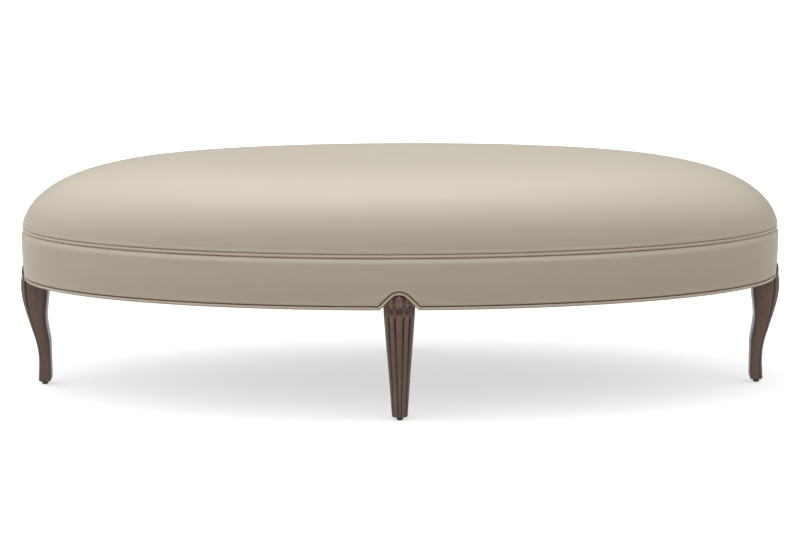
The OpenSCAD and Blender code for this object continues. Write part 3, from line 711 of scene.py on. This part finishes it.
def lower_edge(inside):
    """The lower seam once round the oval, moved inside the cut-outs, as (angle, height)."""
    half = arch_line(inside)
    arch = [(-w, h) for w, h in reversed(half)] + half[1:]
    across = [half_len, half_depth, half_len, half_depth]
    path = []
    for i in range(4):
        middle = math.pi * (i - 1) / 2
        path += [(middle + math.asin(w / across[i]), base_z + h) for w, h in arch]
        start = path[-1][0]
        end = math.pi * i / 2 - math.asin(half[-1][0] / across[(i + 1) % 4])
        step = (end - start) / span_steps
        path += [(start + step * k, base_z - inside) for k in range(1, span_steps)]
    return path


def make_boxing(fabric):
    lower = lower_edge(0)
    count = len(lower)
    # How much longer a step up is than one square to the edge, on the slope of a cut-out
    steep = []
    for i in range(count):
        (a, low), (b, high) = lower[i - 1], lower[(i + 1) % count]
        run = (oval_point(b, 0, 0) - oval_point(a, 0, 0)).length
        steep.append(math.hypot(1, (high - low) / run))
    rows = [
        [oval_point(angle, inset * MM, seam_z - drop * MM) for angle, _z in lower]
        for inset, drop, _painted_shade in upper_tuck
    ]
    dark = [d for _inset, _drop, d in upper_tuck]
    for k in range(band_rows + 1):
        share = (k / band_rows) ** band_row_power
        row = []
        for (angle, low), longer in zip(lower, steep):
            top, foot = seam_z - band_top, low + band_foot * longer
            z = top + share * (foot - top)
            row.append(oval_point(angle, band_inset(z), z))
        rows.append(row)
        drop = (band_top + share * (boxing_h - band_top)) / MM
        dark.append(np.interp(drop, *zip(*seam_shade)))
    for inset, rise, shade in lower_tuck:
        rows.append([
            oval_point(angle, band_inset(low) + inset * MM, low + rise * MM * longer)
            for (angle, low), longer in zip(lower, steep)
        ])
        dark.append(shade)
    free = range(len(lower_tuck) + 1, len(rows) - len(upper_tuck) - 1)
    # Its rows go up, so the pressure draws it in, and its thickness comes on the outside
    piece = cloth_piece("seat_boxing", rows[::-1], dark[::-1], free)
    set_cloth_map(piece, lambda place: (length_round(place), place.z))
    apply_modifier(piece, "SOLIDIFY", thickness=fabric_t, offset=-1)
    finish_piece(piece, fabric, "boxing")


# The welts

# Inset and height of each welt's middle. The upper one is pressed flat against the
# frame at an inset of its own.
welt_middles = {
    "top_welt": (5.8 * MM, (seam_z + crown_z) / 2),
    "bottom_welt": (band_draw + 0.6 * welt_r, base_z - welt_r),
}
welt_back = 8.5 * MM
upper_welt_points = 320
# Painted shade on each welt where it turns to the boxing's seam, by its height over its middle as
# a share of its radius: -1 is its underside and 1 its top
welt_shade = {"top_welt": [(-1, 0.2), (-0.9, 0)], "bottom_welt": [(0.58, 0), (0.8, 0.9)]}


def make_welt(name, path, fabric, node):
    """A tube of fabric round a closed path of points."""
    curve = bpy.data.curves.new(name, "CURVE")
    curve.dimensions = "3D"
    curve.bevel_depth = welt_r
    curve.bevel_resolution = 5
    spline = curve.splines.new("POLY")
    spline.points.add(len(path) - 1)
    for point, place in zip(spline.points, path):
        point.co = (*place, 1)
    spline.use_cyclic_u = True
    piece = new_object(name, curve)
    select_only(piece)
    bpy.ops.object.convert(target="MESH")
    middle_inset, middle_z = welt_middles[node]
    if node == "top_welt":
        for vertex in piece.data.vertices:
            way = oval_normal(oval_angle(vertex.co))
            middle = oval_point(oval_angle(vertex.co), middle_inset, vertex.co.z)
            out = (vertex.co - middle).dot(way)
            vertex.co += max(0, middle_inset - welt_back - out) * way
    tree = KDTree(len(path))
    for i, point in enumerate(path):
        tree.insert(point, i)
    tree.balance()
    # Painted shade on the welt where it turns into the seam, which the material reads as its
    # crease mask.
    dark = []
    for vertex in piece.data.vertices:
        middle, i, _gap = tree.find(vertex.co)
        along = path[(i + 1) % len(path)] - path[i - 1]
        upwards = oval_normal(oval_angle(middle)).cross(along).normalized()
        rise = (vertex.co - middle).dot(upwards) / welt_r
        dark.append(np.interp(rise, *zip(*welt_shade[node])))
    set_mask(piece, "painted_crease_shade", dark)

    def flat(place):
        angle = oval_angle(place)
        out = (place - oval_point(angle, middle_inset, middle_z)).dot(oval_normal(angle))
        return length_round(place), welt_r * math.atan2(place.z - middle_z, out)

    set_cloth_map(piece, flat)
    finish_piece(piece, fabric, node)


def make_welts(fabric):
    inset, z = welt_middles["top_welt"]
    turns = [2 * math.pi * k / upper_welt_points for k in range(upper_welt_points)]
    upper = [oval_point(angle, inset, z) for angle in turns]
    inset = welt_middles["bottom_welt"][0]
    lower = [oval_point(angle, inset, z) for angle, z in lower_edge(welt_r)]
    make_welt("upper_welt", upper, fabric, "top_welt")
    make_welt("lower_welt", lower, fabric, "bottom_welt")


# The legs

# The leg's outline by height: share of the height, of the sway, of the knee's
# thickness and of the knee's width
leg_shares = [
    (0.03, 0.93, 0.455, 0.50), (0.10, 0.96, 0.49, 0.53), (0.20, 1.00, 0.505, 0.58),
    (0.30, 0.97, 0.515, 0.63), (0.40, 0.84, 0.53, 0.68), (0.50, 0.63, 0.585, 0.735),
    (0.60, 0.41, 0.665, 0.79), (0.70, 0.205, 0.805, 0.845), (0.80, 0.05, 0.945, 0.90),
    (0.90, 0.00, 1.00, 0.955), (1.00, 0.07, 1.00, 1.00),
]
leg_table = np.array(smooth_between(leg_shares, 8))
knee_w, knee_depth, knee_reach, leg_sway = 61.5 * MM, 57 * MM, 6.7 * MM, 31.5 * MM
# How far inside the seam line the leg's back may lie, and the height of the foot
post_back, foot_z = 50.3 * MM, 7 * MM
# The gap between the knee and the lower welt
knee_gap = 0.1 * MM
# How far back the face is rounded, as a share of the thickness, and the section's steps
# round the face and between each two points of the side
face_round = 0.26
face_steps, side_steps = 40, 6
# Half of the leg's section behind its rounded face: shares of the half width and thickness
side_line = [
    (1, 0.26), (1, 0.40), (1, 0.54), (0.985, 0.70), (0.95, 0.83), (0.86, 0.93),
    (0.70, 0.985), (0.5, 1),
]
# Where on that section the face's grooves and the side groove are looked for
face_part, side_part = slice(0, face_steps + 1), slice(20, 60)
# Points in each of its zones, between the grooves, and the zones' numbers
zone_steps = (9, 11, 9, 18)
middle_reed, outer_reed, leg_side = 0, 2, 3
side_point_power = 1.4
# Places of the grooves as shares of the half width, at the knee and at the foot
inner_groove, outer_groove = (0.31, 0.20), (0.72, 0.78)
# The side groove's place as a share of the thickness, depth against the others, and width
side_groove, side_groove_depth, side_groove_w = 0.24, 0.75, 5 * MM
# The grooves' depth as a share of the thickness, and the power by which a reed falls to them
reed_depth_share, reed_power = 0.085, 2.6
# How far off the section's direction is taken
probe = 0.4 * MM
# The hollow that parts each reed's rounded top from the petal over it: its depth, its form as (mm
# under the base, share of the depth), the power by which it runs out towards the grooves, and the
# painted shade that darkens it
hollow_depth = 1.1 * MM
hollow_form = [
    (0, 0), (0.5, 0.12), (1.0, 0.45), (1.6, 0.8), (2.6, 0.9), (4, 0.96), (6, 1), (8.5, 1),
    (10.5, 0.9), (12.2, 0.76), (13.6, 0.55), (14.5, 0.32), (15.0, 0.12), (15.4, 0),
]
hollow_drops, hollow_levels = zip(*hollow_form)
hollow_power, hollow_painted_shade = 5, 1.8
# How much lower in mm the hollow reaches between the reeds than at their middles, the power
# of that round, and the drop in mm from which it is full
reed_top_round, reed_top_power, reed_top_full = 5.5, 1.7, 10
# The leg's plain rows, how far under the base they end, and the rows over them in mm
plain_rows, plain_drop = 56, 22 * MM
hollow_rows = (
    21, 20.3, 19.6, 18.8, 18, 17.2, 16.4, 15.6, 14.8, 14, 13, 12, 11, 10, 9, 8, 7, 6,
    4.8, 3.6, 2.6, 1.6, 1.0, 0.5, 0,
)
# A drop in mm that lies under every hollow
far_below = 1000.0
# The foot's rounded edge: inset and height in mm, the share of the grooves' depth, and how
# far in mm the grooves notch it
foot_edge = [(2.6, 0.0, 0.75, 0), (0.9, 0.6, 0.95, 1.1), (0.2, 1.7, 1.0, 0), (0.0, 3.2, 1.0, 0)]
# The petals on the knee's dome: heights of the outer ones against the room under the welt,
# the powers by which they narrow and fall back, how far behind the seam line they end, the
# step down beside them, and the least half width of a petal and of the dome
petal_shares = (0.8, 0.42)
petal_narrowing, petal_fall_power = 3, 4
petal_fall, petal_step = 7 * MM, 3 * MM
petal_tip, dome_tip = 0.2 * MM, 0.6 * MM
dome_steps = 14


def section_line(half_w, depth):
    """Half of the leg's plain section, from the middle of its face round to its back."""
    face = []
    for k in range(face_steps + 1):
        a = math.sin(math.pi / 2 * k / face_steps)
        face.append((half_w * a, depth * face_round * (1 - math.sqrt(max(0, 1 - a * a)))))
    side = smooth_between([(half_w * a, depth * b) for a, b in side_line], side_steps)[1:]
    return np.array(face + [tuple(p) for p in side] + [(0, depth)])


def leg_section(half_w, depth, height_share, carved, below=far_below):
    """Points (x, y, groove) of half a carved section. Each reed is round between its
    grooves, and those that face outwards are hollowed by their distance in mm below the
    leg's upper end."""
    line = section_line(half_w, depth)
    length = np.concatenate([[0], np.cumsum(np.hypot(*np.diff(line, axis=0).T))])

    def on_line(distance):
        return np.array([np.interp(distance, length, line[:, axis]) for axis in (0, 1)])

    edges = [0]
    for at_knee, at_foot in (inner_groove, outer_groove):
        share = at_foot + (at_knee - at_foot) * height_share
        edges.append(float(np.interp(share * half_w, line[face_part, 0], length[face_part])))
    edges.append(float(np.interp(side_groove * depth, line[side_part, 1], length[side_part])))
    edges.append(length[-1])
    cut = reed_depth_share * depth * carved
    points = []
    for zone, steps in enumerate(zone_steps):
        low, high = edges[zone], edges[zone + 1]
        for k in range(steps + (zone == leg_side)):
            t = low + (high - low) * (k / steps) ** (side_point_power if zone == leg_side else 1)
            if zone == middle_reed:
                across = t / high
            elif zone < leg_side:
                across = 2 * (t - low) / (high - low) - 1
            else:
                across = 1 - min(1, (t - low) / side_groove_w)
            by_side_groove = zone == leg_side or (zone == outer_reed and across > 0)
            deep = abs(across) ** reed_power * (side_groove_depth if by_side_groove else 1)
            way = on_line(t + probe) - on_line(t - probe)
            if zone == middle_reed and k == 0:
                way = np.array([1.0, 0.0])
            way /= max(np.hypot(*way), 1e-9)
            inwards = np.array([-way[1], way[0]])
            round_drop = reed_top_round * abs(across) ** reed_top_power
            lower = below - round_drop * min(1, below / reed_top_full)
            hollowed = zone < leg_side and below > 0
            scooped = float(np.interp(lower, hollow_drops, hollow_levels)) if hollowed else 0
            deep *= 1 - scooped
            scooped *= 1 - min(1, abs(across)) ** hollow_power
            x, y = on_line(t) + inwards * (cut * deep + hollow_depth * scooped)
            # The third value is glaze in the grooves, and painted shade in the hollows.
            points.append((max(x, 0.0), y, max(deep * carved, hollow_painted_shade * scooped)))
    return points


def leg_outline(share):
    """Reach beyond the seam line, thickness and half width of the leg at a share of its
    height."""
    levels = leg_table[:, 0]
    sway, thick, wide = (float(np.interp(share, levels, leg_table[:, k])) for k in (1, 2, 3))
    return knee_reach - leg_sway * sway, knee_depth * thick, knee_w / 2 * wide


def arch_width(height):
    """Half width that the lower welt leaves for the knee at a height over the base."""
    r = arch_r - 2 * welt_r - knee_gap
    middle = arch_rise - arch_r
    low = middle + r * math.cos(arch_slope)
    if height >= low:
        return math.sqrt(max(r * r - (height - middle) ** 2, 0))
    return r * math.sin(arch_slope) + (low - height) / math.tan(arch_slope)


def leg_rows():
    """Rows of points of the leg from foot to knee, with the groove's depth at each."""
    rows = []
    foot_share = foot_z / base_z
    out, depth, half_w = leg_outline(foot_share)
    for inset, rise, carved, notch in foot_edge:
        inset *= MM
        section = leg_section(half_w - inset, depth - 2 * inset, foot_share, carved)
        rows.append(
            [(x, y - out + inset, foot_z + rise * MM + notch * MM * g, g) for x, y, g in section]
        )
    plain_foot, plain_top = foot_z + foot_edge[-1][1] * MM, base_z - plain_drop
    levels = [
        plain_foot + (plain_top - plain_foot) * k / plain_rows for k in range(1, plain_rows + 1)
    ]
    levels += [base_z - below * MM for below in hollow_rows]
    for z in levels:
        out, depth, half_w = leg_outline(z / base_z)
        depth = min(depth, post_back + out)
        half_w = min(half_w, arch_width(z - base_z))
        section = leg_section(half_w, depth, z / base_z, 1.0, (base_z - z) / MM)
        rows.append([(x, y - out, z, g) for x, y, g in section])
    return rows


def petal_rows():
    """Rows of the knee's dome, where each reed ends in a round petal inside the cut-out."""
    out, depth, half_w = leg_outline(1.0)
    grooves = [half_w * inner_groove[0], half_w * outer_groove[0], half_w]
    centres = [0, (grooves[0] + grooves[1]) / 2, (grooves[1] + grooves[2]) / 2]
    widths = [grooves[0], (grooves[1] - grooves[0]) / 2, (grooves[2] - grooves[1]) / 2]
    room = arch_rise - 2 * welt_r
    tops = [room - knee_gap] + [share * room for share in petal_shares]
    base = leg_section(half_w, min(depth, post_back + out), 1.0, 1.0)
    side_start = base[-zone_steps[leg_side] - 1][1]
    rows = []
    for k in range(1, dome_steps + 1):
        height = math.sin(math.pi / 2 * k / dome_steps) * tops[0]
        limit = max(arch_width(height), dome_tip)
        row = []
        for x, y, g in base:
            x_now = min(x, limit)
            zone = 0 if x_now < grooves[0] else 1 if x_now < grooves[1] else 2
            rise = min(1, height / tops[zone])
            narrow = widths[zone] * math.sqrt(max(0.0, 1 - rise**petal_narrowing))
            across = abs(x_now - centres[zone]) / max(narrow, petal_tip)
            deep = min(1, across**reed_power)
            plain = depth * face_round * (1 - math.sqrt(max(0, 1 - (x_now / half_w) ** 2)))
            step = max(0, min(across - 1, 1)) * petal_step
            fall = (out + petal_fall) * (1 - math.sqrt(max(0, 1 - rise**petal_fall_power)))
            front = plain + reed_depth_share * depth * deep + step + fall
            y_now = front if x_now < limit - 1e-6 else max(front, y)
            groove = deep if y <= side_start else g
            row.append((x_now, min(y_now, post_back + out) - out, base_z + height, groove))
        rows.append(row)
    return rows


def make_legs(wood):
    """One leg is modelled at the origin, and each of the four is a copy of it."""
    rows = leg_rows() + petal_rows()
    mirrored = []
    depths = []
    for row in rows:
        whole = row + [(-x, y, z, g) for x, y, z, g in reversed(row[1:-1])]
        mirrored.append([p[:3] for p in whole])
        depths += [p[3] for p in whole]
    piece = grid_piece("leg_carved", mirrored)
    set_mask(piece, "groove", depths)
    select_only(piece)
    bpy.ops.object.mode_set(mode="EDIT")
    bpy.ops.mesh.select_all(action="DESELECT")
    bpy.ops.mesh.select_non_manifold()
    bpy.ops.mesh.edge_face_add()
    bpy.ops.object.mode_set(mode="OBJECT")
    tidy_skin(piece, outwards=True)
    for side, turn, away in leg_places:
        mesh = piece.data.copy()
        leg = new_object("leg_" + side + "_carved", mesh)
        mesh.transform(Matrix.Rotation(turn, 4, "Z") @ Matrix.Translation((0, -away, 0)))
        finish_piece(leg, wood, "leg_" + side, angle=50)
    bpy.data.objects.remove(piece)


# Under the seat

# The dust cover's inset, thickness, sag and gap round the legs, and the inset of the
# plates' inner edges
dust_edge_in = welt_middles["bottom_welt"][0] + welt_r + 0.3 * MM
dust_t, dust_sag, leg_cut_gap = 0.6 * MM, 3.2 * MM, 2.5 * MM
plate_in = 88 * MM
# Its points round the oval, and how many of them one side of its grid takes
dust_sides, dust_span = 192, 48
cutter_h = 20 * MM


def make_dust_cover(cloth):
    """Thin cloth under the frame, sagging a little between its tacked edges and cut
    round the legs."""
    long, short = half_len - dust_edge_in, half_depth - dust_edge_in
    bpy.ops.object.select_all(action="DESELECT")
    bpy.ops.mesh.primitive_circle_add(
        vertices=dust_sides, radius=1, fill_type="NOTHING", location=(0, 0, base_z)
    )
    piece = bpy.context.object
    piece.name = piece.data.name = "dust_cloth"
    piece.scale = (long, short, 1)
    bpy.ops.object.transform_apply(location=True, rotation=False, scale=True)
    bpy.ops.object.mode_set(mode="EDIT")
    bpy.ops.mesh.fill_grid(span=dust_span)
    bpy.ops.mesh.select_all(action="SELECT")
    bpy.ops.mesh.normals_make_consistent(inside=False)
    bpy.ops.object.mode_set(mode="OBJECT")
    # It lies flat on the plates, and sags inside them
    for vertex in piece.data.vertices:
        x, y, _z = vertex.co
        across = math.hypot(x / (half_len - plate_in), y / (half_depth - plate_in))
        vertex.co.z -= dust_sag * max(0, 1 - across**2) ** 2
    area = sum(face.area for face in piece.data.polygons)
    # Its thickness goes down, whichever way its faces look
    below = -1 if piece.data.polygons[0].normal.z > 0 else 1
    apply_modifier(piece, "SOLIDIFY", thickness=dust_t, offset=below)
    cut_w, cut_in = knee_w + 2 * leg_cut_gap, post_back + leg_cut_gap
    for _side, turn, away in leg_places:
        bpy.ops.object.select_all(action="DESELECT")
        bpy.ops.mesh.primitive_cube_add(size=1, location=(0, 0, 0))
        cutter = bpy.context.object
        cutter.data.transform(Matrix.Diagonal((cut_w, 2 * cut_in, cutter_h, 1)))
        cutter.data.transform(
            Matrix.Rotation(turn, 4, "Z") @ Matrix.Translation((0, -away, base_z))
        )
        apply_modifier(piece, "BOOLEAN", object=cutter, operation="DIFFERENCE", solver="EXACT")
        bpy.data.objects.remove(cutter)
        area -= cut_w * (cut_in - dust_edge_in)
    finish_piece(piece, cloth, "dust_cover")


# Studio

white = (1.0, 1.0, 1.0)
# The floor's own glow and white in the picture, and the colour of the light that it
# throws back. The glow grows to white between two distances from the bench's middle.
floor_size = 30
floor_glow, floor_white = 0.58, 0.67
glow_start, glow_end = 1.3, 2.6
floor_bounce = (0.2, 0.15, 0.09)
# Soft light from the studio's walls, as (azimuth and height in degrees, strength). A
# wall's light fades with the square of the cosine away from its middle.
wall_lights = [(180, 20, 1.43), (0, 20, 0.88), (-90, 60, 0.81), (0, 90, 0.1), (90, 40, 0.05)]
# What gloss mirrors of the studio: greys by the height of the way, and their strength
mirrored_greys = [(0.0, 0.1), (0.4, 0.2), (0.8, 1.0)]
mirrored_strength = 0.35
# The lamp over the bench
lamp_size, lamp_power, lamp_place = (1.8, 0.9), 10.4, (-0.2, -0.25, 2.3)


def make_floor():
    """A floor that glows in the picture and in gloss, and throws a dim light back."""
    bpy.ops.object.select_all(action="DESELECT")
    bpy.ops.mesh.primitive_plane_add(size=floor_size, location=(0, 0, 0))
    floor = bpy.context.object
    floor.name = "studio_floor"
    material, tree, place = new_material("studio_floor_finish")
    away = add(tree, "VectorMath", {0: place}, operation="LENGTH").outputs["Value"]
    inputs = {
        "Base Color": (floor_white,) * 3,
        "Roughness": 0.9,
        "Specular IOR Level": 0.0,
        "Emission Color": white,
        "Emission Strength": map_range(tree, away, floor_glow, 1.0, glow_start, glow_end),
    }
    glowing = add(tree, "BsdfPrincipled", inputs)
    dim = add(tree, "BsdfDiffuse", {"Color": floor_bounce})
    path = add(tree, "LightPath", {}).outputs
    seen = math_node(tree, "MAXIMUM", path["Is Camera Ray"], path["Is Glossy Ray"])
    seen = math_node(tree, "MAXIMUM", seen, path["Is Transmission Ray"])
    mix = add(tree, "MixShader", {0: seen, 1: dim.outputs[0], 2: glowing.outputs[0]})
    add(tree, "OutputMaterial", {0: mix.outputs[0]})
    floor.data.materials.append(material)


def light_studio():
    world = bpy.data.worlds.new("studio")
    bpy.context.scene.world = world
    world.use_nodes = True
    tree = world.node_tree
    tree.nodes.clear()
    way = add(tree, "TexCoord", {}).outputs["Generated"]
    light = 0.0
    for azimuth, height, strength in wall_lights:
        turn, up = math.radians(azimuth), math.radians(height)
        middle = (math.cos(turn) * math.cos(up), math.sin(turn) * math.cos(up), math.sin(up))
        near = add(tree, "VectorMath", {0: way, 1: middle}, operation="DOT_PRODUCT").outputs[1]
        faded = math_node(tree, "POWER", math_node(tree, "MAXIMUM", near, 0.0), 2.0)
        light = math_node(tree, "ADD", math_node(tree, "MULTIPLY", faded, strength), light)
    upwards = add(tree, "SeparateXYZ", {0: way}).outputs["Z"]
    greys = ramp(tree, upwards, [(place, (grey,) * 3) for place, grey in mirrored_greys])
    backgrounds = [(white, light), (greys, mirrored_strength), (white, 1.0)]
    dome, mirrored, plain = (
        add(tree, "Background", {"Color": colour, "Strength": strength}).outputs[0]
        for colour, strength in backgrounds
    )
    path = add(tree, "LightPath", {}).outputs
    glossy = add(tree, "MixShader", {0: path["Is Glossy Ray"], 1: dome, 2: mirrored})
    straight = math_node(tree, "MAXIMUM", path["Is Camera Ray"], path["Is Transmission Ray"])
    mix = add(tree, "MixShader", {0: straight, 1: glossy.outputs[0], 2: plain})
    add(tree, "OutputWorld", {0: mix.outputs[0]})
    lamp = bpy.data.lights.new("overhead", "AREA")
    lamp.shape = "RECTANGLE"
    lamp.size, lamp.size_y = lamp_size
    lamp.energy = lamp_power
    new_object("overhead", lamp).location = lamp_place


def dress_frame(materials):
    """Gives each CAD node that stays its slot's material."""
    for entry in frame["record"]["subparts"]:
        node = frame["nodes"].get(entry["node"])
        if node is None:
            continue
        for slot in node.material_slots:
            slot.material = materials[entry["material_slot"]]


bpy.context.scene.view_settings.view_transform = "Standard"
place_camera()
light_studio()
make_floor()

fabric = make_cover_fabric("cover_fabric_finish", linear(212, 203, 187))
# The welts' fabric is cut on the bias, and painted lighter than the cover as a painted highlight
# on the welts
bias_fabric_painted_lighter = make_cover_fabric("welt_fabric_painted_lighter_finish", linear(228, 216, 199), math.pi / 4)
materials = {
    "cover_fabric": fabric,
    "polyester_fibre": make_wadding(),
    "foam": make_foam(),
    "deck_cloth": make_plain_weave("deck_cloth_finish", linear(184, 158, 116), 1.2 * MM),
    "webbing": make_plain_weave("webbing_finish", linear(112, 82, 58), 1.6 * MM),
    "card": make_card(),
    "plywood": make_plywood(),
    "frame_hardwood": make_hardwood(),
    "leg_wood": make_leg_wood(),
    "glide": make_glide_plastic(),
    "zinc_steel": make_steel(),
    "dust_cloth": make_dust_cloth(),
}
dress_frame(materials)

make_top_cover(fabric)
make_wadding_layer(materials["polyester_fibre"])
make_boxing(fabric)
make_welts(bias_fabric_painted_lighter)
make_legs(materials["leg_wood"])
make_dust_cover(materials["dust_cloth"])
